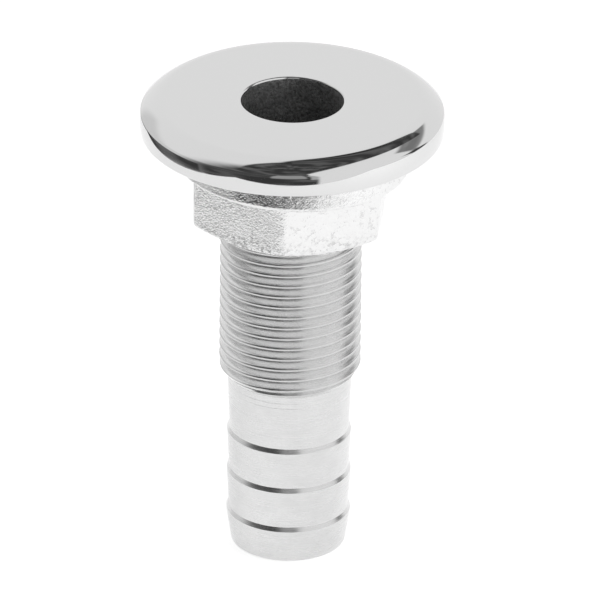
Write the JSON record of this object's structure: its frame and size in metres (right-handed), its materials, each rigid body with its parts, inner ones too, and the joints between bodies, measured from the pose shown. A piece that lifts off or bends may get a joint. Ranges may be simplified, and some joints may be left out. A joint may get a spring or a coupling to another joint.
{
  "type": "thru hull fitting",
  "caption": "Mushroom-head thru hull fitting with a straight bore, threaded barrel, barbed hose tail and a flanged hex nut that clamps it to a hull.",
  "frame": {"origin": "centre of the end face of the hose tail, on the axis of the bore", "axes": "+Z along the bore towards the mushroom head; +X to the right and -Y towards the viewer of the picture; the part stands on its tail"},
  "size_m": [0.0476, 0.0476, 0.0762],
  "materials": {
    "body_stainless": "mirror-polished head, turned thread and hose tail, bore left as cast",
    "nut_stainless": "tumbled sand-cast skin"
  },
  "bodies": {
    "fitting": {"thru_hull_body": "body_stainless"},
    "nut": {"hex_nut": "nut_stainless"}
  },
  "joints": [
    {"name": "nut_travel", "type": "slide", "parent": "fitting", "child": "nut", "axis": [0, 0, -1], "range_m": [-0.0012, 0.0251]}
  ]
}
